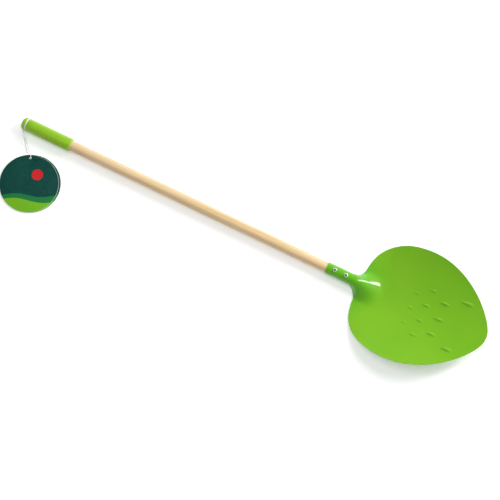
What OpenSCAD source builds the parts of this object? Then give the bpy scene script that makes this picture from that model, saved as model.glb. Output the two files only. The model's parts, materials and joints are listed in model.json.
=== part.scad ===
// Long-handled sand shovel: a pressed sheet blade on a wooden stick, with a sleeve grip and a card tag.
// The stick runs along X, the blade's face looks up, and the shovel lies on its grip and its heel.

/* [Stick] */
// Diameter of the round wooden stick
stick_d = 16; // [12:0.5:22]
// Length of bare wood between the grip and the socket
bare_length = 428; // [250:1:700]
// Length of stick inside the blade's socket
stick_in_socket = 42; // [38:1:60]
// Chamfer on both ends of the stick
stick_chamfer = 1; // [0.5:0.1:2]

/* [Grip] */
// Length of the sleeve grip
grip_length = 83; // [60:1:140]
// Wall of the grip around the stick
grip_wall = 2.1; // [1.8:0.05:4]
// Solid end of the grip beyond the stick
grip_cap = 12; // [10:0.5:20]
// Rounding of the grip's closed end
grip_end_round = 6; // [2:0.25:7]
// Rounding of the grip's open lip
grip_lip_round = 1; // [0.4:0.1:1.6]
// Straight land between the end rounding and the thread groove
groove_land = 0.7; // [0.3:0.1:3]
// Radius of the round-bottomed thread groove
groove_r = 1.3; // [1.3:0.05:1.6]

/* [Blade outline] */
// Length from the socket's mouth to the tip
blade_reach = 255; // [220:1:340]
// Greatest width of the blade
blade_width = 176; // [140:1:230]
// Distance from the socket's mouth to the widest place
widest_at = 132; // [110:1:150]
// Distance from the socket's mouth to the shoulders
shoulder_at = 54.5; // [50:0.5:68]
// Length of the rounded throat before the shoulders
throat_run = 8.5; // [6:0.5:14]
// Width that the rounded throat adds on each side
throat_out = 4; // [3:0.5:12]
// How far the shoulder's curve runs square to the stick
shoulder_pull = 6; // [3:0.5:16]
// How far the shoulder's curve leans forward on its way to the full width
shoulder_lean = 3.5; // [0:0.5:30]
// How far the tip's curve runs flat past the widest place
tip_run = 70; // [40:1:80]
// How far the tip's curve runs square to the stick
tip_pull = 20; // [10:1:40]
// Width of the flat at the very tip
tip_flat = 6; // [3:0.5:10]

/* [Blade form] */
// Thickness of the pressed sheet
sheet = 0.8; // [0.6:0.1:1.2]
// Depth of the dish's heel below the stick's axis
heel_depth = 13.6; // [10:0.1:16]
// Rise of the tip above the heel
tip_rise = 40; // [20:0.5:60]
// Steepness of the rise towards the tip
rise_power = 1.45; // [1.3:0.05:2.2]
// Radius of the dish across the blade
dish_r = 225; // [180:5:500]
// Length of the socket that stays a round tube
socket_round = 36; // [24:1:38]
// Distance past the shoulders where the tube is fully open
open_past = 7; // [3:0.5:12]
// Distance past the shoulders where the ridge has run out
ridge_past = 42; // [25:1:60]
// Gap of the seam under the socket
seam_gap = 2.4; // [1:0.1:5]

/* [Screws] */
// Distance from the socket's mouth to the rear screw
rear_screw_at = 13; // [7:0.5:16]
// Distance between the two screws
screw_spacing = 18; // [10:0.5:22]
// Diameter of a screw's head
head_d = 6; // [5:0.25:7]
// Height of a screw's head
head_h = 2; // [1.5:0.1:2.6]
// Radius of the head's domed top
head_dome_r = 4.5; // [4:0.25:8]
// Diameter of a screw's shank
shank_d = 3; // [2.2:0.1:3.5]
// Length of a screw under its head
shank_length = 11; // [8:0.5:13]
// Length of a screw's point
point_length = 3; // [2:0.5:5]
// Width of the cross recess
recess_w = 0.9; // [0.6:0.1:1.2]
// Length of the cross recess
recess_l = 3.2; // [2.4:0.1:3.8]
// Depth of the cross recess
recess_depth = 1.2; // [0.8:0.1:1.3]

/* [Tag] */
// Diameter of a tag leaf
tag_d = 90; // [60:1:110]
// Thickness of a tag leaf
leaf_t = 0.6; // [0.4:0.05:0.8]
// Diameter of the hole in a leaf
tag_hole_d = 4; // [3.8:0.1:5]
// Distance from a leaf's rim to the middle of its hole
tag_hole_in = 5; // [4:0.25:8]
// Angle that the front leaf is fanned out from the back leaf
fan_angle = 4.4; // [0:0.2:10]
// Slope of the leaves, which lie on the thread under their hole
tag_slope = 1.5; // [1.3:0.1:3]
// Diameter of the thread
thread_d = 1; // [0.8:0.05:1]
// Diameter of the thread's knot
knot_d = 2.8; // [2.2:0.1:3.4]

/* [Clearances] */
// Gap between the stick and the socket around it
socket_fit = 0.15; // [0.1:0.05:0.4]
// Gap between the stick and the grip around it
grip_fit = 0.1; // [0.05:0.05:0.3]
// Gap behind the stick's end in the grip
bore_end_gap = 0.3; // [0.1:0.1:1]
// Gap around a screw in its hole
screw_fit = 0.05; // [0.05:0.05:0.2]
// Gap between the thread, the grip and the leaves
thread_gap = 0.3; // [0.3:0.05:0.5]

/* [Hidden] */
$fn = 64;
cut = 1;

leaf_green = "#7cc31f";
pale_wood = "#e6c99f";
bright_steel = "#c9ccd1";
thread_white = "#f2f2ec";
tag_green = "#0b4f43";

stick_r = stick_d / 2;
grip_bore_r = stick_r + grip_fit;
grip_r = grip_bore_r + grip_wall;
socket_r = stick_r + socket_fit + sheet;
sheet_r = socket_r - sheet / 2;
bore_depth = grip_length - grip_cap;
stick_in_grip = bore_depth - bore_end_gap;
stick_length = stick_in_grip + bare_length + stick_in_socket;
groove_at = grip_end_round + groove_land + groove_r;

overall = grip_length + bare_length + blade_reach;
grip_end_x = -overall / 2;
stick_start_x = grip_end_x + grip_length - stick_in_grip;
mouth_x = grip_end_x + grip_length + bare_length;
groove_x = grip_end_x + groove_at;

function smooth(from, to, x) =
    let (q = min(1, max(0, (x - from) / (to - from))))
    q * q * (3 - 2 * q);

function curve(p, t) =
    (1 - t) ^ 3 * p[0] + 3 * (1 - t) ^ 2 * t * p[1] + 3 * (1 - t) * t ^ 2 * p[2] + t ^ 3 * p[3];

function unit(v) = v / norm(v);

function flat(lists) = [for (list = lists) each list];

// The sheet's edge, as rows of [edge x, half of the sheet's developed width, middle x].
// All x are counted from the socket's mouth.
socket_half = PI * sheet_r - seam_gap / 2;
throat_x = shoulder_at - throat_run;
throat_half = socket_half + throat_out;
half_width = blade_width / 2;
socket_rows = 5;
throat_rows = 5;
shoulder_rows = 12;
tip_rows = 15;
heel_rows = throat_rows + shoulder_rows;
shoulder_curve = [
    [shoulder_at, throat_half],
    [shoulder_at, throat_half + shoulder_pull],
    [shoulder_at + shoulder_lean, half_width],
    [widest_at, half_width],
];
tip_curve = [
    [widest_at, half_width],
    [widest_at + tip_run, half_width],
    [blade_reach, tip_flat / 2 + tip_pull],
    [blade_reach, tip_flat / 2],
];
function heel_x(k) = throat_x + (widest_at - throat_x) * k / heel_rows;
function throat_row(k) =
    let (a = 90 * k / throat_rows)
    [throat_x + throat_run * sin(a), socket_half + throat_out * (1 - cos(a)), heel_x(k)];
function shoulder_row(k) =
    let (p = curve(shoulder_curve, k / shoulder_rows))
    [p[0], p[1], heel_x(throat_rows + k)];
function tip_row(k) =
    let (p = curve(tip_curve, k / tip_rows))
    [p[0], p[1], p[0]];
edge_rows = concat(
    [[0, socket_half, 0]],
    [for (k = [0 : socket_rows - 1])
        let (x = socket_round + (throat_x - socket_round) * k / socket_rows)
        [x, socket_half, x]],
    [for (k = [0 : throat_rows]) throat_row(k)],
    [for (k = [1 : shoulder_rows]) shoulder_row(k)],
    [for (k = [1 : tip_rows]) tip_row(k)]
);

// The sheet's middle surface: a tube that opens past the stick, and a ridge that fades into the dish.
// m is the distance along the sheet from its middle line.
ridge_from = max(throat_x, stick_in_socket + stick_chamfer);
function opening(x) = smooth(socket_round, shoulder_at + open_past, x);
function ridge_left(x) = 1 - smooth(ridge_from, shoulder_at + ridge_past, x);
function bend(m) = min(180, m / sheet_r * 180 / PI);
function sheet_y(x, m) =
    let (curl = sheet_r * (bend(m) * PI / 180 - sin(bend(m))))
    m - (1 - opening(x)) * curl;
function dish_z(x, y) =
    let (run = max(0, (x - shoulder_at) / (blade_reach - shoulder_at)))
    -heel_depth + tip_rise * run ^ rise_power + y ^ 2 / (2 * dish_r);
function sheet_z(x, m, y) =
    ridge_left(x) * sheet_r * cos(bend(m)) + (1 - ridge_left(x)) * dish_z(x, y);
function sheet_point(row, t) =
    let (
        x = row[2] + (row[0] - row[2]) * t ^ 2,
        m = abs(t) * row[1],
        y = sheet_y(x, m)
    )
    [x, sign(t) * y, sheet_z(x, m, y)];

columns = 28;
last_row = len(edge_rows) - 1;
middle_grid = [
    for (row = edge_rows) [for (j = [0 : columns]) sheet_point(row, 2 * j / columns - 1)]
];
function sheet_normal(i, j) =
    unit(cross(
        middle_grid[min(i + 1, last_row)][j] - middle_grid[max(i - 1, 0)][j],
        middle_grid[i][min(j + 1, columns)] - middle_grid[i][max(j - 1, 0)]
    ));
function sheet_side(side) = [
    for (i = [0 : last_row])
        [for (j = [0 : columns]) middle_grid[i][j] + side * sheet / 2 * sheet_normal(i, j)]
];
top_points = flat(sheet_side(1));
under_points = flat(sheet_side(-1));
under_start = len(top_points);
function at(i, j) = i * (columns + 1) + j;
sheet_rim = concat(
    [for (i = [0 : last_row - 1]) at(i, 0)],
    [for (j = [0 : columns - 1]) at(last_row, j)],
    [for (i = [last_row : -1 : 1]) at(i, columns)],
    [for (j = [columns : -1 : 1]) at(0, j)]
);
top_faces = [
    for (i = [0 : last_row - 1], j = [0 : columns - 1])
        each [
            [at(i, j), at(i, j + 1), at(i + 1, j + 1)],
            [at(i, j), at(i + 1, j + 1), at(i + 1, j)],
        ]
];
under_faces = [for (f = top_faces) [f[2], f[1], f[0]] + under_start * [1, 1, 1]];
rim_faces = [
    for (k = [0 : len(sheet_rim) - 1])
        let (a = sheet_rim[k], b = sheet_rim[(k + 1) % len(sheet_rim)])
        each [[a, b, b + under_start], [a, b + under_start, a + under_start]]
];

// The stick's axis lies as high as the lowest of the grip, the socket and the heel asks.
heel_low = -min([for (p = under_points) p[2]]);
axis_z = max(grip_r, socket_r, heel_low);

// The thread: [x from the groove, y, height above the ground], from the knot through the hole and back.
thread_r = thread_d / 2;
hitch_r = grip_r - groove_r + thread_gap + thread_r;
knot_r = knot_d / 2;
knot_y = -(grip_r + thread_gap + knot_r);
thread_sides = 8;
thread_route = [
    [0.2, -13, 10.8], [1.4, -14.8, 11.2], [3.4, -17, 10.8], [5.6, -19.2, 9.4], [7.6, -21.2, 7.6],
    [9.6, -23.2, 5.8], [11.8, -25.4, 4.4], [14.2, -27.8, 3.6], [16.6, -30.2, 3.6], [18.8, -32.4, 4.2],
    [20.8, -34.4, 4.9], [22.8, -36.4, 5.2], [24.8, -38.6, 5.1], [26.2, -40.2, 4.9], [27.1, -41.4, 4.6],
    [27.8, -42.6, 4.1], [27.5, -43.6, 3], [26.5, -43.7, 1.9], [25.3, -42.9, 1.4], [23.8, -41.4, 1.2],
    [21.8, -39.4, 0.9], [19.6, -37.2, 0.8], [17.4, -35, 0.8], [15.2, -32.8, 0.8], [13, -30.6, 0.9],
    [10.8, -28.2, 1.4], [8.8, -25.8, 2.6], [6.8, -23.2, 4.4], [4.8, -20.4, 6.6], [3, -17.8, 8.4],
    [1.4, -15.4, 9.4], [0.2, -13, 9.7],
];
hole_place = [27, -43, 3];
tag_heading = 119;
last_ring = len(thread_route) - 1;
function thread_way(k) =
    unit(thread_route[min(k + 1, last_ring)] - thread_route[max(k - 1, 0)]);
function thread_ring(k) =
    let (
        way = thread_way(k),
        side = unit(cross(way, [0.6, 0.6, 0.5])),
        up = cross(side, way)
    )
    [for (n = [0 : thread_sides - 1])
        let (a = 360 * n / thread_sides)
        thread_route[k] + thread_r * (cos(a) * side + sin(a) * up)];
thread_points = flat([for (k = [0 : last_ring]) thread_ring(k)]);
function ring_at(k, n) = k * thread_sides + n % thread_sides;
thread_faces = concat(
    [[for (n = [0 : thread_sides - 1]) ring_at(0, n)]],
    [for (k = [0 : last_ring - 1], n = [0 : thread_sides - 1])
        each [
            [ring_at(k, n), ring_at(k + 1, n), ring_at(k + 1, n + 1)],
            [ring_at(k, n), ring_at(k + 1, n + 1), ring_at(k, n + 1)],
        ]],
    [[for (n = [thread_sides - 1 : -1 : 0]) ring_at(last_ring, n)]]
);

// Stands what is drawn along Z on the stick's axis, so that Z becomes X
module along_stick(x) {
    translate([x, 0, axis_z]) rotate([0, 90, 0]) children();
}

// Places what is drawn around a leaf's hole, with the leaf's middle on -X
module at_tag_hole(turn) {
    translate([groove_x, 0, 0] + hole_place)
        rotate([0, -tag_slope, tag_heading])
            rotate([0, 0, turn])
                children();
}

module screw_hole(x, r, depth) {
    translate([mouth_x + x, 0, axis_z + socket_r + cut - depth]) cylinder(r = r, h = depth);
}

module blade() {
    wall_cut = sheet + 2 * cut;
    color(leaf_green)
        difference() {
            translate([mouth_x, 0, axis_z])
                polyhedron(
                    points = concat(top_points, under_points),
                    faces = concat(top_faces, under_faces, rim_faces)
                );
            for (x = [rear_screw_at, rear_screw_at + screw_spacing])
                screw_hole(x, shank_d / 2 + screw_fit, wall_cut);
        }
}

module handle_stick() {
    pilot_depth = cut + shank_length + point_length + screw_fit;
    color(pale_wood)
        difference() {
            along_stick(stick_start_x)
                union() {
                    cylinder(r1 = stick_r - stick_chamfer, r2 = stick_r, h = stick_chamfer);
                    translate([0, 0, stick_chamfer])
                        cylinder(r = stick_r, h = stick_length - 2 * stick_chamfer);
                    translate([0, 0, stick_length - stick_chamfer])
                        cylinder(r1 = stick_r, r2 = stick_r - stick_chamfer, h = stick_chamfer);
                }
            for (x = [rear_screw_at, rear_screw_at + screw_spacing])
                screw_hole(x, shank_d / 2 + screw_fit, pilot_depth);
        }
}

module grip() {
    lip_z = grip_length - grip_lip_round;
    color(leaf_green)
        along_stick(grip_end_x)
            difference() {
                union() {
                    cylinder(r = grip_r - grip_end_round, h = grip_length);
                    translate([0, 0, grip_end_round])
                        cylinder(r = grip_r, h = lip_z - grip_end_round);
                    grip_end();
                    cylinder_lip(lip_z);
                }
                translate([0, 0, grip_cap]) cylinder(r = grip_bore_r, h = bore_depth + cut);
                translate([0, 0, groove_at])
                    rotate_extrude() translate([grip_r, 0]) circle(r = groove_r);
            }
}

// Quarter round of the grip's closed end
module grip_end() {
    translate([0, 0, grip_end_round])
        rotate_extrude()
            translate([grip_r - grip_end_round, 0])
                intersection() {
                    circle(r = grip_end_round);
                    translate([0, -grip_end_round]) square(grip_end_round);
                }
}

// Rounded open end of the grip
module cylinder_lip(z) {
    translate([0, 0, z]) {
        cylinder(r = grip_r - grip_lip_round, h = grip_lip_round);
        rotate_extrude() translate([grip_r - grip_lip_round, 0]) circle(r = grip_lip_round);
    }
}

// Domed wood screw with a cross recess, pointing down, its head seated at the origin
module wood_screw() {
    dome_z = head_h - head_dome_r;
    difference() {
        union() {
            intersection() {
                cylinder(r = head_d / 2, h = head_h);
                translate([0, 0, dome_z]) sphere(r = head_dome_r);
            }
            translate([0, 0, point_length - shank_length])
                cylinder(r = shank_d / 2, h = shank_length - point_length + cut / 2);
            translate([0, 0, -shank_length])
                cylinder(r1 = 0, r2 = shank_d / 2, h = point_length);
        }
        for (turn = [0, 90])
            rotate([0, 0, turn])
                translate([-recess_l / 2, -recess_w / 2, head_h - recess_depth])
                    cube([recess_l, recess_w, recess_depth + cut]);
    }
}

module rear_screw() {
    color(bright_steel)
        translate([mouth_x + rear_screw_at, 0, axis_z + socket_r]) wood_screw();
}

module front_screw() {
    color(bright_steel)
        translate([mouth_x + rear_screw_at + screw_spacing, 0, axis_z + socket_r]) wood_screw();
}

module string_hitch() {
    color(thread_white) {
        along_stick(groove_x) rotate_extrude() translate([hitch_r, 0]) circle(r = thread_r);
        translate([groove_x, 0, axis_z]) {
            translate([0, -hitch_r, 0])
                rotate([90, 0, 0]) cylinder(r = thread_r, h = -knot_y - hitch_r);
            translate([0, knot_y, 0]) sphere(r = knot_r);
        }
    }
}

module tag_string() {
    color(thread_white)
        translate([groove_x, 0, 0]) polyhedron(points = thread_points, faces = thread_faces);
}

// One round card with its hole at the origin and its middle on -X
module tag_leaf() {
    difference() {
        translate([tag_hole_in - tag_d / 2, 0, 0]) cylinder(d = tag_d, h = leaf_t);
        translate([0, 0, -cut]) cylinder(d = tag_hole_d, h = leaf_t + 2 * cut);
    }
}

module tag_front_leaf() {
    color(tag_green) at_tag_hole(-fan_angle) translate([0, 0, thread_gap / 2]) tag_leaf();
}

module tag_back_leaf() {
    color(tag_green) at_tag_hole(0) translate([0, 0, -thread_gap / 2 - leaf_t]) tag_leaf();
}

blade();
handle_stick();
grip();
rear_screw();
front_screw();
string_hitch();
tag_string();
tag_front_leaf();
tag_back_leaf();
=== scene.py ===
import json
import math

import bpy
from mathutils import Matrix, Vector


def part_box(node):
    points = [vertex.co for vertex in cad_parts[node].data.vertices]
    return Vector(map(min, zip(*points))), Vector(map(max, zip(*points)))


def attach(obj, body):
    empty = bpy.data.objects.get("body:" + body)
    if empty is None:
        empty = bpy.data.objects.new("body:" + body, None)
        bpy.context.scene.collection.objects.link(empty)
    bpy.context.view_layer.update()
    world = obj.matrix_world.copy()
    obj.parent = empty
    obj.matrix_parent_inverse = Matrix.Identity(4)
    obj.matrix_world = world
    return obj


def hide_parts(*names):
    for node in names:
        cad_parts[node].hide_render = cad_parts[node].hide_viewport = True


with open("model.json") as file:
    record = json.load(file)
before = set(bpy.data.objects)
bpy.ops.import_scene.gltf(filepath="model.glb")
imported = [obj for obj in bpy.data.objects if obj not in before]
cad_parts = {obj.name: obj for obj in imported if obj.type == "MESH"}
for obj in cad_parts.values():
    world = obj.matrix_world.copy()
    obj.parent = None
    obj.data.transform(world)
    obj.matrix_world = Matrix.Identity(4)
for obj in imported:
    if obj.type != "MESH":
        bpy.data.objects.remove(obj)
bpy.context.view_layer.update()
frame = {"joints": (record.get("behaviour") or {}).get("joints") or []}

# The camera stands above the blade's near side, as the photographer did.
# A long lens keeps the stick's two sides almost parallel.
MM = 0.001
LENS_MM = 120.9
SENSOR_MM = 36.0
CAMERA_AZIMUTH = math.radians(26.149)
CAMERA_ELEVATION = math.radians(77.0)
CAMERA_DISTANCE = 2.5
CAMERA_AIM = Vector((13.79, -26.28, 10.2)) * MM

camera_data = bpy.data.cameras.new("camera")
camera_data.sensor_width = SENSOR_MM
camera_data.lens = LENS_MM
camera = bpy.data.objects.new("camera", camera_data)
bpy.context.collection.objects.link(camera)
camera_back = Vector((
    math.sin(CAMERA_AZIMUTH) * math.cos(CAMERA_ELEVATION),
    -math.cos(CAMERA_AZIMUTH) * math.cos(CAMERA_ELEVATION),
    math.sin(CAMERA_ELEVATION),
))
camera.location = CAMERA_AIM + CAMERA_DISTANCE * camera_back
camera.rotation_euler = (math.pi / 2 - CAMERA_ELEVATION, 0, CAMERA_AZIMUTH)
bpy.context.scene.camera = camera

# The tag's thread: white cotton of three twisted plies, tied to a turn of thread on the grip.
# It drops from its knot to the ground, goes through both leaves of the tag, and comes back under them.
THREAD_D = 1.0 * MM
joint_at = {joint["name"]: Vector(joint["pos_m"]) for joint in frame["joints"]}
GROOVE_X = joint_at["thread_swing"].x / MM
THREAD_ROUTE = [
    (0.2, -13, 10.8), (1.4, -14.8, 11.2), (3.4, -17, 10.8), (5.6, -19.2, 9.4), (7.6, -21.2, 7.6),
    (9.6, -23.2, 5.8), (11.8, -25.4, 4.4), (14.2, -27.8, 3.6), (16.6, -30.2, 3.6), (18.8, -32.4, 4.2),
    (20.8, -34.4, 4.9), (22.8, -36.4, 5.2), (24.8, -38.6, 5.1), (26.2, -40.2, 4.9), (27.1, -41.4, 4.6),
    (27.8, -42.6, 4.1), (27.5, -43.6, 3), (26.5, -43.7, 1.9), (25.3, -42.9, 1.4), (23.8, -41.4, 1.2),
    (21.8, -39.4, 0.9), (19.6, -37.2, 0.8), (17.4, -35, 0.8), (15.2, -32.8, 0.8), (13, -30.6, 0.9),
    (10.8, -28.2, 1.4), (8.8, -25.8, 2.6), (6.8, -23.2, 4.4), (4.8, -20.4, 6.6), (3, -17.8, 8.4),
    (1.4, -15.4, 9.4), (0.2, -13, 9.7),
]
PLIES = 3
PLY_PITCH = 3.2 * MM
PLY_DEPTH = 0.13
THREAD_SIDES = 18
THREAD_STEP = 0.4 * MM
COTTON_DULL = (0.80, 0.79, 0.75)
COTTON_WHITE = (0.94, 0.94, 0.91)


def smooth_line(points, step, closed=False):
    """Even points along one smooth curve through all the given ones."""
    count = len(points)
    line = []
    for k in range(count if closed else count - 1):
        if closed:
            a, b, c, d = (points[(k + j - 1) % count] for j in range(4))
        else:
            a, b, c, d = (points[min(max(k + j - 1, 0), count - 1)] for j in range(4))
        pieces = max(2, round((c - b).length / step))
        for n in range(pieces):
            t = n / pieces
            line.append(0.5 * (
                2 * b + (c - a) * t + (2 * a - 5 * b + 4 * c - d) * t ** 2
                + (3 * b - a - 3 * c + d) * t ** 3
            ))
    if not closed:
        line.append(points[-1].copy())
    return line


def twisted_thread(name, line, closed=False):
    """A tube along a line with the plies of a twisted thread around it, and a map along and around it."""
    count = len(line)
    vertices, faces, along = [], [], [0.0]
    for k in range(1, count):
        along.append(along[-1] + (line[k] - line[k - 1]).length)
    side = None
    for k, point in enumerate(line):
        before = line[(k - 1) % count] if closed else line[max(k - 1, 0)]
        after = line[(k + 1) % count] if closed else line[min(k + 1, count - 1)]
        way = (after - before).normalized()
        if side is None:
            side = way.orthogonal()
        side = (side - way * side.dot(way)).normalized()
        up = way.cross(side)
        for n in range(THREAD_SIDES):
            angle = 2 * math.pi * n / THREAD_SIDES
            lobe = math.cos(PLIES * angle - 2 * math.pi * along[k] / PLY_PITCH)
            radius = THREAD_D / 2 * (1 - PLY_DEPTH * (1 - lobe) / 2)
            vertices.append(point + radius * (math.cos(angle) * side + math.sin(angle) * up))
    for k in range(count if closed else count - 1):
        for n in range(THREAD_SIDES):
            a, b = k * THREAD_SIDES, (k + 1) % count * THREAD_SIDES
            m = (n + 1) % THREAD_SIDES
            faces.append((a + n, a + m, b + m, b + n))
    if not closed:
        faces.append(tuple(reversed(range(THREAD_SIDES))))
        faces.append(tuple(range((count - 1) * THREAD_SIDES, count * THREAD_SIDES)))
    mesh = bpy.data.meshes.new(name)
    mesh.from_pydata(vertices, [], faces)
    thread_map = mesh.uv_layers.new(name="thread_map")
    for face in mesh.polygons:
        ring = [mesh.loops[i].vertex_index for i in face.loop_indices]
        wraps = max(v % THREAD_SIDES for v in ring) - min(v % THREAD_SIDES for v in ring) > 1
        for i, v in zip(face.loop_indices, ring):
            around = v % THREAD_SIDES
            if wraps and around == 0 and len(ring) == 4:
                around = THREAD_SIDES
            thread_map.data[i].uv = (around / THREAD_SIDES, along[v // THREAD_SIDES] / THREAD_D)
        face.use_smooth = len(ring) == 4
    piece = bpy.data.objects.new(name, mesh)
    bpy.context.collection.objects.link(piece)
    return piece


def new_finish(name, **sockets):
    """A node material, its constants set on the shader's own sockets."""
    finish = bpy.data.materials.new(name)
    finish.use_nodes = True
    shader = finish.node_tree.nodes["Principled BSDF"]
    for socket, value in sockets.items():
        shader.inputs[socket.replace("_", " ")].default_value = value
    return finish, finish.node_tree, shader


def node(tree, kind, inputs=(), **settings):
    """One node with its settings, and its inputs given as values or as other nodes' sockets."""
    made = tree.nodes.new(kind)
    for name, value in settings.items():
        setattr(made, name, value)
    for socket, value in dict(inputs).items():
        if isinstance(value, bpy.types.NodeSocket):
            tree.links.new(value, made.inputs[socket])
        else:
            made.inputs[socket].default_value = value
    return made


def noise(tree, place, scale, detail, roughness=0.5, distortion=0.0):
    """The grey of a soft noise over the given coordinates."""
    return node(tree, "ShaderNodeTexNoise", {
        "Vector": place, "Scale": scale, "Detail": detail, "Roughness": roughness, "Distortion": distortion,
    }).outputs["Fac"]


def ramp(tree, factor, stops):
    """Colours along a factor, as pairs of place and colour."""
    made = node(tree, "ShaderNodeValToRGB", {"Fac": factor})
    while len(made.color_ramp.elements) < len(stops):
        made.color_ramp.elements.new(0.5)
    for element, (place, colour) in zip(made.color_ramp.elements, stops):
        element.position = place
        element.color = (*colour, 1)
    return made.outputs["Color"]


def bump(tree, shader, height, distance, strength=1.0):
    """A fine relief in the finish."""
    made = node(tree, "ShaderNodeBump", {"Height": height, "Distance": distance, "Strength": strength})
    tree.links.new(made.outputs["Normal"], shader.inputs["Normal"])


cotton, tree, shader = new_finish("white_cotton", Roughness=0.85, Sheen_Weight=0.35)
fibre_place = node(tree, "ShaderNodeMapping", {
    "Vector": node(tree, "ShaderNodeUVMap", uv_map="thread_map").outputs["UV"],
    "Scale": (9, 2.2, 1),
    "Rotation": (0, 0, math.radians(24)),
})
fibres = noise(tree, fibre_place.outputs["Vector"], 2.0, 4.0, roughness=0.6)
tree.links.new(ramp(tree, fibres, [(0.3, COTTON_DULL), (0.62, COTTON_WHITE)]), shader.inputs["Base Color"])
bump(tree, shader, fibres, 0.06 * MM, 0.6)

thread_points = [Vector((GROOVE_X + x, y, z)) * MM for x, y, z in THREAD_ROUTE]
thread_line = smooth_line(thread_points, THREAD_STEP)
tag_thread = twisted_thread("tag_thread", thread_line)
tag_thread.data.materials.append(cotton)
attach(tag_thread, "thread")
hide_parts("tag_string")

# The hitch: two turns of the same thread side by side, drawn tight in the grip's groove.
# They are closed by a small overhand knot at the side, where the tag's thread starts.
stick_low, stick_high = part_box("handle_stick")
AXIS_Z = (stick_low.z + stick_high.z) / 2 / MM
HITCH_R = 9.7
TURN_ASIDE = 0.5
KNOT_Y = -11.9
KNOT_R = 0.92
KNOT_DEPTH = 0.55
STEM_STEPS = 3
HITCH_POINTS = 48
KNOT_POINTS = 60

hitch_strands = []
for turn_x in (GROOVE_X - TURN_ASIDE, GROOVE_X + TURN_ASIDE):
    turn_points = []
    for k in range(HITCH_POINTS):
        angle = 2 * math.pi * k / HITCH_POINTS
        turn_points.append(
            Vector((turn_x, HITCH_R * math.cos(angle), AXIS_Z + HITCH_R * math.sin(angle))) * MM
        )
    turn_line = smooth_line(turn_points, THREAD_STEP, closed=True)
    hitch_strands.append(twisted_thread("hitch_turn", turn_line, closed=True))

knot_points = []
for k in range(KNOT_POINTS):
    a = 2 * math.pi * k / KNOT_POINTS
    loop_x = (math.sin(a) + 2 * math.sin(2 * a)) / 3
    loop_z = (math.cos(a) - 2 * math.cos(2 * a)) / 3
    loop_y = -math.sin(3 * a) * KNOT_DEPTH
    knot_points.append(
        Vector((GROOVE_X + KNOT_R * loop_x, KNOT_Y + KNOT_R * loop_y, AXIS_Z + KNOT_R * loop_z)) * MM
    )
knot_line = smooth_line(knot_points, THREAD_STEP / 2, closed=True)
hitch_strands.append(twisted_thread("hitch_knot", knot_line, closed=True))

stem_points = []
for k in range(STEM_STEPS + 1):
    stem_y = -HITCH_R + (KNOT_Y + HITCH_R) * k / STEM_STEPS
    stem_points.append(Vector((GROOVE_X, stem_y, AXIS_Z)) * MM)
hitch_strands.append(twisted_thread("hitch_stem", smooth_line(stem_points, THREAD_STEP)))

bpy.ops.object.select_all(action="DESELECT")
for strand in hitch_strands:
    strand.select_set(True)
thread_hitch = hitch_strands[0]
bpy.context.view_layer.objects.active = thread_hitch
bpy.ops.object.join()
thread_hitch.name = "thread_hitch"
thread_hitch.data.materials.append(cotton)
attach(thread_hitch, "thread")
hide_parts("string_hitch")

# The stick: a round of pale beech, turned and sanded, its ends chamfered, under a thin clear varnish.
# One end sits in the grip and the other in the blade's socket.
STICK_R = 8.0 * MM
STICK_FROM = stick_low.x
STICK_TO = stick_high.x
STICK_CHAMFER = 1.0 * MM
STICK_END_INSET = 3.0 * MM
STICK_SIDES = 96
NEAR = 0.1 * MM
BEECH_DARK = (0.78, 0.52, 0.265)
BEECH_MIDDLE = (0.89, 0.65, 0.375)
BEECH_PALE = (0.93, 0.72, 0.455)
FIBRE_SHADE = (0.86, 0.79, 0.70)
FLECK_SHADE = (0.80, 0.70, 0.58)
NO_SHADE = (1, 1, 1)


def start_piece():
    """Leaves nothing selected, so that the next operators act on the new primitive alone."""
    if bpy.context.object is not None and bpy.context.object.mode != "OBJECT":
        bpy.ops.object.mode_set(mode="OBJECT")
    bpy.ops.object.select_all(action="DESELECT")


def pick(piece, kind, test):
    """In edit mode, selects the vertices, edges or faces whose middle passes a test."""
    bpy.ops.object.mode_set(mode="EDIT")
    bpy.ops.mesh.select_mode(type=kind)
    bpy.ops.mesh.select_all(action="DESELECT")
    bpy.ops.object.mode_set(mode="OBJECT")
    mesh = piece.data
    for item in {"VERT": mesh.vertices, "EDGE": mesh.edges, "FACE": mesh.polygons}[kind]:
        if kind == "VERT":
            middle = item.co
        elif kind == "FACE":
            middle = item.center
        else:
            middle = (mesh.vertices[item.vertices[0]].co + mesh.vertices[item.vertices[1]].co) / 2
        item.select = test(middle)
    bpy.ops.object.mode_set(mode="EDIT")


def finish_piece(piece, name, sharp_angle=35):
    """Names the piece, puts its place into its mesh and smooths what isn't an edge."""
    if piece.mode != "OBJECT":
        bpy.ops.object.mode_set(mode="OBJECT")
    piece.name = name
    piece.data.name = name
    bpy.ops.object.select_all(action="DESELECT")
    piece.select_set(True)
    bpy.context.view_layer.objects.active = piece
    bpy.ops.object.transform_apply(location=True, rotation=True, scale=True)
    bpy.ops.object.shade_smooth_by_angle(angle=math.radians(sharp_angle))


def at_stick_end(place):
    """Whether a place lies on one of the stick's two ends."""
    return min(abs(place.x - STICK_FROM), abs(place.x - STICK_TO)) < NEAR


def stretched(tree, place, scale):
    """Coordinates drawn out along the length of a piece."""
    return node(tree, "ShaderNodeMapping", {"Vector": place, "Scale": scale}).outputs["Vector"]


def greys(tree, factor, stops):
    """Greys along a factor, as pairs of place and level."""
    return ramp(tree, factor, [(place, (level,) * 3) for place, level in stops])


def shaded(tree, share, colour, shade):
    """A colour darkened by a share of a shade."""
    return node(tree, "ShaderNodeMix", {
        0: share, 6: colour, 7: shade,
    }, data_type="RGBA", blend_type="MULTIPLY").outputs[2]


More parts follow.
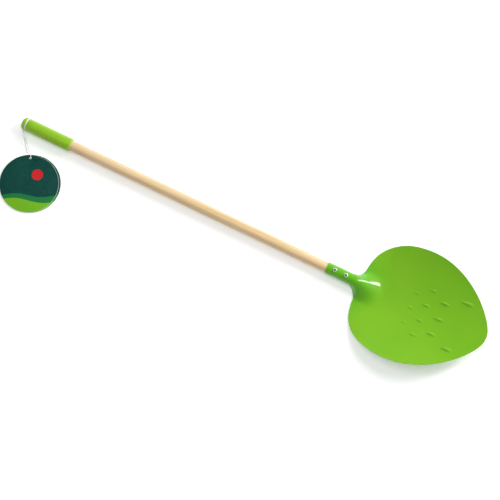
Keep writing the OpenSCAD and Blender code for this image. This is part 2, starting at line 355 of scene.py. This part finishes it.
start_piece()
bpy.ops.mesh.primitive_cylinder_add(
    vertices=STICK_SIDES, radius=STICK_R, depth=STICK_TO - STICK_FROM,
    location=((STICK_FROM + STICK_TO) / 2, 0, AXIS_Z * MM), rotation=(0, math.pi / 2, 0),
)
stick = bpy.context.object
bpy.ops.object.transform_apply(location=True, rotation=True, scale=True)
pick(stick, "EDGE", at_stick_end)
bpy.ops.mesh.bevel(offset=STICK_CHAMFER, segments=3, affect="EDGES")
pick(stick, "FACE", at_stick_end)
bpy.ops.mesh.inset(thickness=STICK_END_INSET)
finish_piece(stick, "stick")

beech, tree, shader = new_finish(
    "varnished_beech", Roughness=0.42, Coat_Weight=0.18, Coat_Roughness=0.22, Specular_IOR_Level=0.4
)
place = node(tree, "ShaderNodeTexCoord").outputs["Object"]
years = noise(tree, stretched(tree, place, (3.2, 150, 95)), 1.0, 3.0, distortion=0.3)
fibres = noise(tree, stretched(tree, place, (16, 1500, 1500)), 1.0, 5.0, roughness=0.65)
flecks = node(tree, "ShaderNodeTexVoronoi", {
    "Vector": stretched(tree, place, (230, 1900, 1900)), "Scale": 1.0,
}).outputs["Distance"]
year_colour = ramp(tree, years, [(0.30, BEECH_DARK), (0.48, BEECH_MIDDLE), (0.70, BEECH_PALE)])
grain = shaded(tree, 0.8, year_colour, ramp(tree, fibres, [(0.32, FIBRE_SHADE), (0.60, NO_SHADE)]))
wood_colour = shaded(tree, 0.5, grain, ramp(tree, flecks, [(0.10, FLECK_SHADE), (0.24, NO_SHADE)]))
tree.links.new(wood_colour, shader.inputs["Base Color"])
tree.links.new(greys(tree, fibres, [(0.3, 0.52), (0.7, 0.36)]), shader.inputs["Roughness"])
bump(tree, shader, fibres, 0.05 * MM, 0.5)
stick.data.materials.append(beech)
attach(stick, "shovel")
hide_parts("handle_stick")

# The grip: a sleeve moulded in glossy leaf-green plastic and pushed over the stick's end.
# Its closed end is rounded, and a groove just behind it keeps the hanging thread in place.
grip_low, grip_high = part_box("grip")
GRIP_END = grip_low.x / MM
GRIP_LENGTH = (grip_high.x - grip_low.x) / MM
GRIP_R = (grip_high.z - grip_low.z) / 2 / MM
GRIP_BORE_R = 8.1
GRIP_CAP = 12.0
GRIP_END_ROUND = 6.0
GRIP_END_FLAT = 2.6
GRIP_LIP_ROUND = 1.9
GRIP_BORE_EASE = 0.2
GROOVE_R = 1.3
GROOVE_EASE = 0.25
TURNED_STEPS = 96
MERGE = 0.002 * MM
PLASTIC_DEEP = (0.275, 0.545, 0.014)
PLASTIC_PALE = (0.315, 0.59, 0.018)


def turned(profile, base, axis, out):
    """Draws a half profile of pairs, along the axis and away from it, and spins it once round."""
    start_piece()
    bpy.ops.mesh.primitive_plane_add(size=MM, location=(0, 0, 0))
    piece = bpy.context.object
    bpy.ops.object.mode_set(mode="EDIT")
    bpy.ops.mesh.select_mode(type="VERT")
    bpy.ops.mesh.select_all(action="SELECT")
    bpy.ops.mesh.merge(type="CENTER")
    at = [(base + axis * a + out * r) * MM for a, r in profile]
    bpy.ops.transform.translate(value=at[0])
    for before, after in zip(at, at[1:]):
        bpy.ops.mesh.extrude_region_move(TRANSFORM_OT_translate={"value": after - before})
    bpy.ops.mesh.select_all(action="SELECT")
    bpy.ops.mesh.spin(steps=TURNED_STEPS, angle=2 * math.pi, center=base * MM, axis=axis)
    bpy.ops.mesh.select_all(action="SELECT")
    bpy.ops.mesh.remove_doubles(threshold=MERGE)
    bpy.ops.mesh.normals_make_consistent(inside=False)
    bpy.ops.object.mode_set(mode="OBJECT")
    return piece


def arc(along, away, radius, first, last, count):
    """Points of a round in a half profile, from one angle to another in degrees."""
    turns = [math.radians(first + (last - first) * k / count) for k in range(count + 1)]
    return [(along + radius * math.cos(t), away + radius * math.sin(t)) for t in turns]


groove_at = GROOVE_X - GRIP_END
grip_profile = [(0, 0), (0, GRIP_END_FLAT)]
grip_profile += arc(GRIP_END_ROUND, GRIP_R - GRIP_END_ROUND, GRIP_END_ROUND, 180, 90, 12)
grip_profile += [(groove_at - GROOVE_R - GROOVE_EASE, GRIP_R)]
grip_profile += arc(groove_at, GRIP_R - GROOVE_EASE, GROOVE_R - GROOVE_EASE / 2, 190, 350, 14)
grip_profile += [(groove_at + GROOVE_R + GROOVE_EASE, GRIP_R)]
grip_profile += [(GRIP_LENGTH * part, GRIP_R) for part in (0.25, 0.5, 0.75)]
grip_profile += arc(GRIP_LENGTH - GRIP_LIP_ROUND, GRIP_R - GRIP_LIP_ROUND, GRIP_LIP_ROUND, 90, 0, 8)
grip_profile += [(GRIP_LENGTH - GRIP_BORE_EASE, GRIP_BORE_R)]
grip_profile += [(GRIP_CAP, GRIP_BORE_R), (GRIP_CAP, 0)]
grip = turned(grip_profile, Vector((GRIP_END, 0, AXIS_Z)), Vector((1, 0, 0)), Vector((0, 0, 1)))
finish_piece(grip, "grip_sleeve", 50)

leaf_plastic, tree, shader = new_finish(
    "leaf_green_plastic", Roughness=0.3, IOR=1.5, Coat_Weight=0.25, Coat_Roughness=0.08,
    Subsurface_Weight=0.08, Subsurface_Radius=(1.0, 1.0, 0.3), Subsurface_Scale=1.5 * MM,
)
place = node(tree, "ShaderNodeTexCoord").outputs["Object"]
flow = noise(tree, stretched(tree, place, (18, 55, 55)), 1.0, 3.0, distortion=0.6)
tree.links.new(ramp(tree, flow, [(0.3, PLASTIC_DEEP), (0.7, PLASTIC_PALE)]), shader.inputs["Base Color"])
skin = noise(tree, place, 900.0, 3.0)
tree.links.new(greys(tree, skin, [(0.3, 0.25), (0.7, 0.34)]), shader.inputs["Roughness"])
bump(tree, shader, skin, 0.02 * MM, 0.35)
grip.data.materials.append(leaf_plastic)
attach(grip, "shovel")
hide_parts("grip")

# The blade: one sheet of steel, cut to a leaf's outline and pressed to a dish, its neck rolled to a socket.
# Twelve seed shapes are pressed up out of its face, and it is dipped in glossy leaf-green enamel.
# A deeper green is painted round the neck as painted shade.
MOUTH_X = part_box("blade")[0].x / MM
SHEET = 0.8
SHEET_R = 8.55
SEAM_GAP = 2.4
SOCKET_HALF = math.pi * SHEET_R - SEAM_GAP / 2
STICK_CLEAR = 43.0
SHOULDER_AT = 54.5
THROAT_RUN = 8.5
THROAT_OUT = 4.0
SHOULDER_PULL = 6.0
SHOULDER_LEAN = 3.5
WIDEST_AT = 132.0
HALF_WIDTH = 88.0
BLADE_REACH = 255.0
TIP_RUN = 70.0
TIP_PULL = 20.0
TIP_HALF = 3.0
HEEL_DEPTH = 13.6
TIP_RISE = 40.0
RISE_POWER = 1.45
DISH_R = 225.0
SOCKET_ROUND = 36.0
OPEN_PAST = 7.0
RIDGE_PAST = 42.0
RIM_ROUND = 0.3
NECK_SHADE_AT = 25.0
NECK_SHADE_WITHIN = 32.0
NECK_SHADE_PAST = 76.0
SOCKET_ROWS = 20
HEEL_ROWS = 76
THROAT_SHARE = 5 / 17
TIP_ROWS = 158
FINE_COLUMNS = 120
RIM_COLUMNS = 23
FINE_SHARE = 0.56
SEEDS = [
    (136.5, 0, 11.5, 5.4, 0.9), (136.5, 24, 10.5, 5.2, 0.85),
    (156, 12.4, 14.5, 6.2, 1.2), (156, 36.5, 15, 6.2, 1.2),
    (181, 0, 18, 7.2, 1.55), (180, 25, 18, 7.2, 1.55),
    (209, 37.6, 22, 8.2, 1.85),
]
SEED_BELLY = 0.62
SEED_TAPER = 0.38
SEED_ROUND = 1.5
NECK_SHADE_GREENS = [(0.3, (0.118, 0.455, 0.008)), (0.7, (0.140, 0.485, 0.010))]
LEAF_GREENS = [(0.3, (0.185, 0.490, 0.008)), (0.7, (0.215, 0.525, 0.011))]


def ease(start, end, x):
    """Goes smoothly from 0 at start to 1 at end."""
    q = min(1.0, max(0.0, (x - start) / (end - start)))
    return q * q * (3 - 2 * q)


def bent_edge(p, t):
    """A point of a cut edge that is drawn by four points."""
    shares = ((1 - t) ** 3, 3 * (1 - t) ** 2 * t, 3 * (1 - t) * t ** 2, t ** 3)
    return [sum(share * point[i] for share, point in zip(shares, p)) for i in (0, 1)]


throat_x = SHOULDER_AT - THROAT_RUN
throat_half = SOCKET_HALF + THROAT_OUT
shoulder_edge = [
    (SHOULDER_AT, throat_half), (SHOULDER_AT, throat_half + SHOULDER_PULL),
    (SHOULDER_AT + SHOULDER_LEAN, HALF_WIDTH), (WIDEST_AT, HALF_WIDTH),
]
tip_edge = [
    (WIDEST_AT, HALF_WIDTH), (WIDEST_AT + TIP_RUN, HALF_WIDTH),
    (BLADE_REACH, TIP_HALF + TIP_PULL), (BLADE_REACH, TIP_HALF),
]
blade_rows = []
for k in range(SOCKET_ROWS):
    row_x = throat_x * k / SOCKET_ROWS
    blade_rows.append((row_x, SOCKET_HALF, row_x))
for k in range(HEEL_ROWS):
    share = k / HEEL_ROWS
    middle_x = throat_x + (WIDEST_AT - throat_x) * share
    if share < THROAT_SHARE:
        turn = math.pi / 2 * share / THROAT_SHARE
        edge_x = throat_x + THROAT_RUN * math.sin(turn)
        edge_half = SOCKET_HALF + THROAT_OUT * (1 - math.cos(turn))
    else:
        edge_x, edge_half = bent_edge(shoulder_edge, (share - THROAT_SHARE) / (1 - THROAT_SHARE))
    blade_rows.append((edge_x, edge_half, middle_x))
for k in range(TIP_ROWS + 1):
    edge_x, edge_half = bent_edge(tip_edge, k / TIP_ROWS)
    blade_rows.append((edge_x, edge_half, edge_x))
blade_columns = [-1 + (1 - FINE_SHARE) * k / RIM_COLUMNS for k in range(RIM_COLUMNS)]
blade_columns += [-FINE_SHARE + 2 * FINE_SHARE * k / FINE_COLUMNS for k in range(FINE_COLUMNS)]
blade_columns += [FINE_SHARE + (1 - FINE_SHARE) * k / RIM_COLUMNS for k in range(RIM_COLUMNS + 1)]


def seed_height(x, y):
    """How far a pressed seed (its place, length, width and height) lifts the sheet, blunt end to the tip."""
    lift = 0.0
    for seed_x, seed_y, length, width, height in SEEDS:
        along = (x - seed_x) / (length / 2)
        across = (abs(y) - seed_y) / (width / 2)
        if abs(along) < 1 and abs(across) < 1:
            belly = SEED_BELLY + SEED_TAPER * math.sin(math.pi / 2 * along)
            far = along ** 2 + (across / belly) ** 2
            if far < 1:
                lift = max(lift, height * (1 - far) ** SEED_ROUND)
    return lift


def sheet_point(row, t):
    """A point of the sheet's middle surface, t from one cut edge to the other."""
    edge_x, edge_half, middle_x = row
    x = middle_x + (edge_x - middle_x) * t * t
    m = abs(t) * edge_half
    bend = min(math.pi, m / SHEET_R)
    opening = ease(SOCKET_ROUND, SHOULDER_AT + OPEN_PAST, x)
    y = m - (1 - opening) * SHEET_R * (bend - math.sin(bend))
    ridge_left = 1 - ease(max(throat_x, STICK_CLEAR), SHOULDER_AT + RIDGE_PAST, x)
    run = max(0.0, (x - SHOULDER_AT) / (BLADE_REACH - SHOULDER_AT))
    dish = -HEEL_DEPTH + TIP_RISE * run ** RISE_POWER + y * y / (2 * DISH_R)
    z = ridge_left * SHEET_R * math.cos(bend) + (1 - ridge_left) * dish + seed_height(x, y)
    return Vector((MOUTH_X + x, math.copysign(y, t), AXIS_Z + z)) * MM


start_piece()
bpy.ops.mesh.primitive_grid_add(
    x_subdivisions=len(blade_rows) - 1, y_subdivisions=len(blade_columns) - 1, size=1, location=(0, 0, 0)
)
blade = bpy.context.object
row_count, column_count = len(blade_rows), len(blade_columns)
for vertex in blade.data.vertices:
    i = round((vertex.co.x + 0.5) * (row_count - 1))
    j = round((vertex.co.y + 0.5) * (column_count - 1))
    vertex.co = sheet_point(blade_rows[i], blade_columns[j])
thickness = blade.modifiers.new("sheet", "SOLIDIFY")
thickness.thickness = SHEET * MM
thickness.offset = 0
thickness.use_even_offset = True
rounding = blade.modifiers.new("rim", "BEVEL")
rounding.width = RIM_ROUND * MM
rounding.segments = 3
rounding.limit_method = "ANGLE"
rounding.angle_limit = math.radians(60)
for modifier in ("sheet", "rim"):
    bpy.ops.object.modifier_apply(modifier=modifier)
finish_piece(blade, "blade_sheet", 50)

enamel, tree, shader = new_finish(
    "leaf_green_enamel", Roughness=0.5, Specular_IOR_Level=0.2, Coat_Weight=1.0, Coat_Roughness=0.05
)
place = node(tree, "ShaderNodeTexCoord").outputs["Object"]
pour = noise(tree, place, 14.0, 2.0, roughness=0.4)
# Painted shade: near the neck the base colour turns a deeper, bluer green, which fades out further along the
# blade.
from_neck = node(tree, "ShaderNodeVectorMath", {
    0: place, 1: Vector((MOUTH_X + NECK_SHADE_AT, 0, AXIS_Z)) * MM,
}, operation="DISTANCE")
neck_shade_fade = node(tree, "ShaderNodeMapRange", {
    "Value": from_neck.outputs["Value"], "From Min": NECK_SHADE_WITHIN * MM, "From Max": NECK_SHADE_PAST * MM,
}, interpolation_type="SMOOTHSTEP")
paint_with_neck_shade = node(tree, "ShaderNodeMix", data_type="RGBA", inputs={
    0: neck_shade_fade.outputs["Result"], 6: ramp(tree, pour, NECK_SHADE_GREENS), 7: ramp(tree, pour, LEAF_GREENS),
})
tree.links.new(paint_with_neck_shade.outputs[2], shader.inputs["Base Color"])
peel = noise(tree, place, 260.0, 2.0, roughness=0.45)
tree.links.new(greys(tree, peel, [(0.3, 0.46), (0.7, 0.54)]), shader.inputs["Roughness"])
bump(tree, shader, peel, 0.05 * MM, 0.25)
blade.data.materials.append(enamel)
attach(blade, "shovel")
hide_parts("blade")

# The two screws: domed wood screws of zinc-plated steel with a cross recess.
# They go through the socket's top into the stick, one behind the other.
SCREW_BASE_Z = AXIS_Z + SHEET_R + SHEET / 2
REAR_SCREW_AT = 13.0
SCREW_SPACING = 18.0
HEAD_R = 3.0
HEAD_H = 2.0
HEAD_DOME_R = 4.5
HEAD_EDGE = 0.25
SHANK_R = 1.5
SHANK_LENGTH = 11.0
POINT_LENGTH = 3.0
RECESS_L = 3.6
RECESS_W = 1.2
RECESS_DEPTH = 1.2
RECESS_UNDER_DOME = 0.12
SLACK = 0.05
ZINC_DULL = (0.80, 0.82, 0.84)
ZINC_BRIGHT = (0.90, 0.91, 0.92)
RECESS_SHADE_DARK = (0.012, 0.014, 0.018)
RECESS_SHADE_GREY = (0.04, 0.044, 0.05)

head_rim_h = HEAD_H - HEAD_DOME_R + math.sqrt(HEAD_DOME_R ** 2 - HEAD_R ** 2)
dome_angle = math.degrees(math.asin(HEAD_R / HEAD_DOME_R))
screw_profile = [(-SHANK_LENGTH, 0), (POINT_LENGTH - SHANK_LENGTH, SHANK_R), (0, SHANK_R)]
screw_profile += [(0, HEAD_R - HEAD_EDGE), (HEAD_EDGE, HEAD_R), (head_rim_h - HEAD_EDGE / 2, HEAD_R)]
screw_profile += arc(HEAD_H - HEAD_DOME_R, 0, HEAD_DOME_R, dome_angle - 2, 0, 8)

zinc, tree, shader = new_finish("zinc_plate", Metallic=0.6, Roughness=0.4)
place = node(tree, "ShaderNodeTexCoord").outputs["Object"]
crystals = noise(tree, place, 700.0, 3.0)
tree.links.new(ramp(tree, crystals, [(0.3, ZINC_DULL), (0.7, ZINC_BRIGHT)]), shader.inputs["Base Color"])
tree.links.new(greys(tree, crystals, [(0.3, 0.52), (0.7, 0.40)]), shader.inputs["Roughness"])
bump(tree, shader, crystals, 0.02 * MM, 0.3)

# Painted shade: the faces of the cross recess get a near-black colour that stands in for the shade inside it.
recess_painted_shade, tree, shader = new_finish("recess_shade_finish", Metallic=0.6, Roughness=0.6)
place = node(tree, "ShaderNodeTexCoord").outputs["Object"]
recess_shade_speckle = noise(tree, place, 900.0, 2.0)
tree.links.new(ramp(tree, recess_shade_speckle, [(0.3, RECESS_SHADE_DARK), (0.7, RECESS_SHADE_GREY)]), shader.inputs["Base Color"])

for k, screw_node in enumerate(("rear_screw", "front_screw")):
    screw_x = MOUTH_X + REAR_SCREW_AT + SCREW_SPACING * k
    screw = turned(
        screw_profile, Vector((screw_x, 0, SCREW_BASE_Z)), Vector((0, 0, 1)), Vector((1, 0, 0))
    )
    recess_centre = Vector((screw_x, 0, SCREW_BASE_Z + HEAD_H)) * MM
    start_piece()
    bpy.ops.mesh.primitive_cube_add(size=MM, location=(0, 0, 0))
    recess = bpy.context.object
    recess.scale = (RECESS_L, RECESS_W, 2 * RECESS_DEPTH)
    recess.location = recess_centre
    bpy.ops.object.transform_apply(location=True, rotation=True, scale=True)
    for turn in (0, 90):
        recess.data.transform(
            Matrix.Translation(recess_centre)
            @ Matrix.Rotation(math.radians(turn), 4, "Z")
            @ Matrix.Translation(-recess_centre)
        )
        bpy.context.view_layer.objects.active = screw
        cut = screw.modifiers.new("recess", "BOOLEAN")
        cut.operation = "DIFFERENCE"
        cut.object = recess
        bpy.ops.object.modifier_apply(modifier="recess")
    bpy.data.objects.remove(recess)
    finish_piece(screw, screw_node + "_steel", 30)
    screw.data.materials.append(zinc)
    screw.data.materials.append(recess_painted_shade)
    # Faces inside the cross recess take the painted shade.
    for face in screw.data.polygons:
        inside = (face.center - recess_centre) / MM
        in_cross = max(abs(inside.x), abs(inside.y)) < RECESS_L / 2 + SLACK
        in_depth = inside.z > -RECESS_DEPTH - SLACK
        dome_z = math.sqrt(max(0, HEAD_DOME_R ** 2 - inside.x ** 2 - inside.y ** 2)) - HEAD_DOME_R
        if in_cross and in_depth and inside.z < dome_z - RECESS_UNDER_DOME:
            face.material_index = 1
    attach(screw, "shovel")
    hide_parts(screw_node)

# The tag: two round leaves of printed card, punched near the rim and hung on the same thread.
# They lie flat beside the grip, the front leaf turned a little so that the back one shows at its edge.
TAG_R = 45.0
LEAF_T = 0.6
TAG_HOLE_R = 2.0
TAG_HOLE_IN = 5.0
LEAF_GAP = 0.3
FAN_ANGLE = -4.4
TAG_SLOPE = -1.5
TAG_HEADING = 119.0
HOLE_PLACE = joint_at["front_leaf_turn"]
CARD_EDGE = 0.12
CARD_BARE = 0.4
LEAF_SIDES = 128
CARD_GREENS = [(0.3, (0.0, 0.052, 0.041)), (0.7, (0.003, 0.068, 0.053))]
HILLS = [(-18, 2.6, 0.085, (0.012, 0.20, 0.05)), (-26, 3.4, 0.07, (0.19, 0.50, 0.015))]
SUN_AT = (14, -12)
SUN_R = 8.5
SUN_RED = (0.62, 0.018, 0.022)
BARE_CARD = (0.66, 0.70, 0.66)
INK_SOFT = 0.25


def leaf_frame(turn):
    """The place of a leaf, its hole at the origin and its middle on -X."""
    return (
        Matrix.Translation(HOLE_PLACE)
        @ Matrix.Rotation(math.radians(TAG_HEADING), 4, "Z")
        @ Matrix.Rotation(math.radians(TAG_SLOPE), 4, "Y")
        @ Matrix.Rotation(math.radians(turn), 4, "Z")
    )


def card_leaf(name, turn, bottom):
    """A disc between two rings of vertices, bridged, drawn up to its thickness, its cut edges eased."""
    start_piece()
    bpy.ops.mesh.primitive_circle_add(
        vertices=LEAF_SIDES, radius=TAG_R * MM, location=((TAG_HOLE_IN - TAG_R) * MM, 0, bottom * MM)
    )
    leaf = bpy.context.object
    bpy.ops.object.transform_apply(location=True, rotation=True, scale=True)
    bpy.ops.object.mode_set(mode="EDIT")
    bpy.ops.mesh.primitive_circle_add(
        vertices=LEAF_SIDES, radius=TAG_HOLE_R * MM, location=(0, 0, bottom * MM)
    )
    bpy.ops.mesh.select_all(action="SELECT")
    bpy.ops.mesh.bridge_edge_loops()
    bpy.ops.mesh.select_all(action="SELECT")
    bpy.ops.mesh.extrude_region_move(TRANSFORM_OT_translate={"value": (0, 0, LEAF_T * MM)})
    bpy.ops.mesh.select_all(action="SELECT")
    bpy.ops.mesh.normals_make_consistent(inside=False)
    bpy.ops.object.mode_set(mode="OBJECT")
    edges = leaf.modifiers.new("cut edges", "BEVEL")
    edges.width = CARD_EDGE * MM
    edges.segments = 2
    edges.limit_method = "ANGLE"
    edges.angle_limit = math.radians(60)
    bpy.ops.object.modifier_apply(modifier="cut edges")
    leaf.data.transform(leaf_frame(turn))
    finish_piece(leaf, name, 40)
    return leaf


def printed_card(name, turn, bottom):
    """Dark green print on white card, which stays bare at the rim: low hills and a red sun."""
    finish, tree, shader = new_finish(name, Roughness=0.42, Specular_IOR_Level=0.25)
    flat = leaf_frame(turn) @ Matrix.Translation(Vector((TAG_HOLE_IN - TAG_R, 0, bottom)) * MM)
    place = node(tree, "ShaderNodeTexCoord").outputs["Object"]
    to_leaf = node(tree, "ShaderNodeMapping", {
        "Vector": place, "Location": flat.translation, "Rotation": flat.to_euler(),
        "Scale": (MM, MM, MM),
    }, vector_type="TEXTURE").outputs["Vector"]
    parts = node(tree, "ShaderNodeSeparateXYZ", {"Vector": to_leaf}).outputs

    def math_node(operation, a, b=0.0):
        return node(tree, "ShaderNodeMath", {0: a, 1: b}, operation=operation).outputs[0]

    def under(value, limit):
        return node(tree, "ShaderNodeMapRange", {
            "Value": value, "From Min": limit - INK_SOFT, "From Max": limit + INK_SOFT,
            "To Min": 1.0, "To Max": 0.0,
        }).outputs["Result"]

    def print_over(colour, ink, mask):
        return node(tree, "ShaderNodeMix", {0: mask, 6: colour, 7: (*ink, 1)}, data_type="RGBA").outputs[2]

    def far_from(x, y):
        return node(tree, "ShaderNodeVectorMath", {
            0: node(tree, "ShaderNodeCombineXYZ", {"X": parts["X"], "Y": parts["Y"]}).outputs["Vector"],
            1: (x, y, 0),
        }, operation="DISTANCE").outputs["Value"]

    colour = ramp(tree, noise(tree, place, 220.0, 3.0), CARD_GREENS)
    for level, swell, wave, ink in HILLS:
        hill = math_node("MULTIPLY", math_node("SINE", math_node("MULTIPLY", parts["Y"], wave)), swell)
        colour = print_over(colour, ink, under(math_node("SUBTRACT", parts["X"], hill), level))
    colour = print_over(colour, SUN_RED, under(far_from(*SUN_AT), SUN_R))
    bare = math_node("GREATER_THAN", far_from(0, 0), TAG_R - CARD_BARE)
    colour = print_over(colour, BARE_CARD, bare)
    tree.links.new(colour, shader.inputs["Base Color"])
    paper = noise(tree, place, 1400.0, 4.0)
    tree.links.new(greys(tree, paper, [(0.3, 0.48), (0.7, 0.36)]), shader.inputs["Roughness"])
    bump(tree, shader, paper, 0.03 * MM, 0.3)
    return finish


front_bottom = LEAF_GAP / 2
tag_front = card_leaf("tag_front_card", FAN_ANGLE, front_bottom)
tag_front.data.materials.append(printed_card("printed_front_card", FAN_ANGLE, front_bottom))
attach(tag_front, "front_leaf")
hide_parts("tag_front_leaf")
back_bottom = -LEAF_GAP / 2 - LEAF_T
tag_back = card_leaf("tag_back_card", 0, back_bottom)
tag_back.data.materials.append(printed_card("printed_back_card", 0, back_bottom))
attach(tag_back, "back_leaf")
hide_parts("tag_back_leaf")

# The studio: a wide white floor, walls that light as grey and look white, and three soft boxes.
# The large one stands behind the shovel, the tall narrow one puts the glint on the blade's neck,
# and the one overhead fills the shade. Only the narrow one shows in the gloss.
FLOOR_SIZE = 24.0
FLOOR_DROP = 0.05 * MM
FLOOR_LIFT = 0.3
FAR_LIFT = 0.8
NEAR_FLOOR = 0.9
FAR_FLOOR = 4.0
WALL_LEVELS = [(0.0, 0.5), (0.3, 0.4), (0.6, 0.18), (1.0, 0.13)]
LAMP_AIM = Vector((0.2, 0, 0.015))
WHITE = (1, 1, 1)
WARM = (1, 0.965, 0.88)
COOL = (0.96, 1, 0.99)

start_piece()
bpy.ops.mesh.primitive_plane_add(size=FLOOR_SIZE, location=(0, 0, -FLOOR_DROP))
floor = bpy.context.object
floor.name = "floor"
floor_white, tree, shader = new_finish("floor_white", Roughness=0.9, Specular_IOR_Level=0.1)
place = node(tree, "ShaderNodeTexCoord").outputs["Object"]
paper = noise(tree, place, 60.0, 2.0)
tree.links.new(greys(tree, paper, [(0.3, 0.945), (0.7, 0.955)]), shader.inputs["Base Color"])
rays = node(tree, "ShaderNodeLightPath").outputs
seen = node(tree, "ShaderNodeMath", {0: rays["Is Camera Ray"], 1: rays["Is Glossy Ray"]}, operation="MAXIMUM")
seen = node(tree, "ShaderNodeMath", {
    0: seen.outputs[0], 1: rays["Is Transmission Ray"],
}, operation="MAXIMUM")
from_middle = node(tree, "ShaderNodeVectorMath", {0: place}, operation="LENGTH")
whiter = node(tree, "ShaderNodeMapRange", {
    "Value": from_middle.outputs["Value"], "From Min": NEAR_FLOOR, "From Max": FAR_FLOOR,
    "To Min": FLOOR_LIFT, "To Max": FAR_LIFT,
})
lift = node(tree, "ShaderNodeMath", {0: seen.outputs[0], 1: whiter.outputs["Result"]}, operation="MULTIPLY")
shader.inputs["Emission Color"].default_value = (*WHITE, 1)
tree.links.new(lift.outputs[0], shader.inputs["Emission Strength"])
floor.data.materials.append(floor_white)

world = bpy.data.worlds.new("studio")
world.use_nodes = True
sky = world.node_tree
up = node(sky, "ShaderNodeSeparateXYZ", {"Vector": node(sky, "ShaderNodeTexCoord").outputs["Generated"]})
walls = greys(sky, up.outputs["Z"], WALL_LEVELS)
backdrop = node(sky, "ShaderNodeMix", data_type="RGBA", inputs={
    0: node(sky, "ShaderNodeLightPath").outputs["Is Camera Ray"], 6: walls, 7: (*WHITE, 1),
})
sky.links.new(backdrop.outputs[2], sky.nodes["Background"].inputs["Color"])
bpy.context.scene.world = world


def soft_lamp(name, azimuth, elevation, distance, width, height, power, colour):
    """A soft box that looks at the blade's neck, its azimuth counted from +X towards +Y."""
    lamp_data = bpy.data.lights.new(name, "AREA")
    lamp_data.shape = "RECTANGLE"
    lamp_data.size = width
    lamp_data.size_y = height
    lamp_data.energy = power
    lamp_data.color = colour
    lamp = bpy.data.objects.new(name, lamp_data)
    a, e = math.radians(azimuth), math.radians(elevation)
    way = Vector((math.cos(a) * math.cos(e), math.sin(a) * math.cos(e), math.sin(e)))
    lamp.location = LAMP_AIM + way * distance
    lamp.rotation_euler = (-way).to_track_quat("-Z", "Y").to_euler()
    bpy.context.collection.objects.link(lamp)
    return lamp


soft_lamp("key", 100, 35, 2.4, 1.8, 1.4, 14, WARM).visible_glossy = False
soft_lamp("strip", 56, 33, 2.4, 0.50, 1.9, 48, WHITE)
soft_lamp("overhead", 180, 75, 3.2, 2.0, 2.0, 36, COOL).visible_glossy = False

bpy.context.scene.view_settings.view_transform = "Standard"
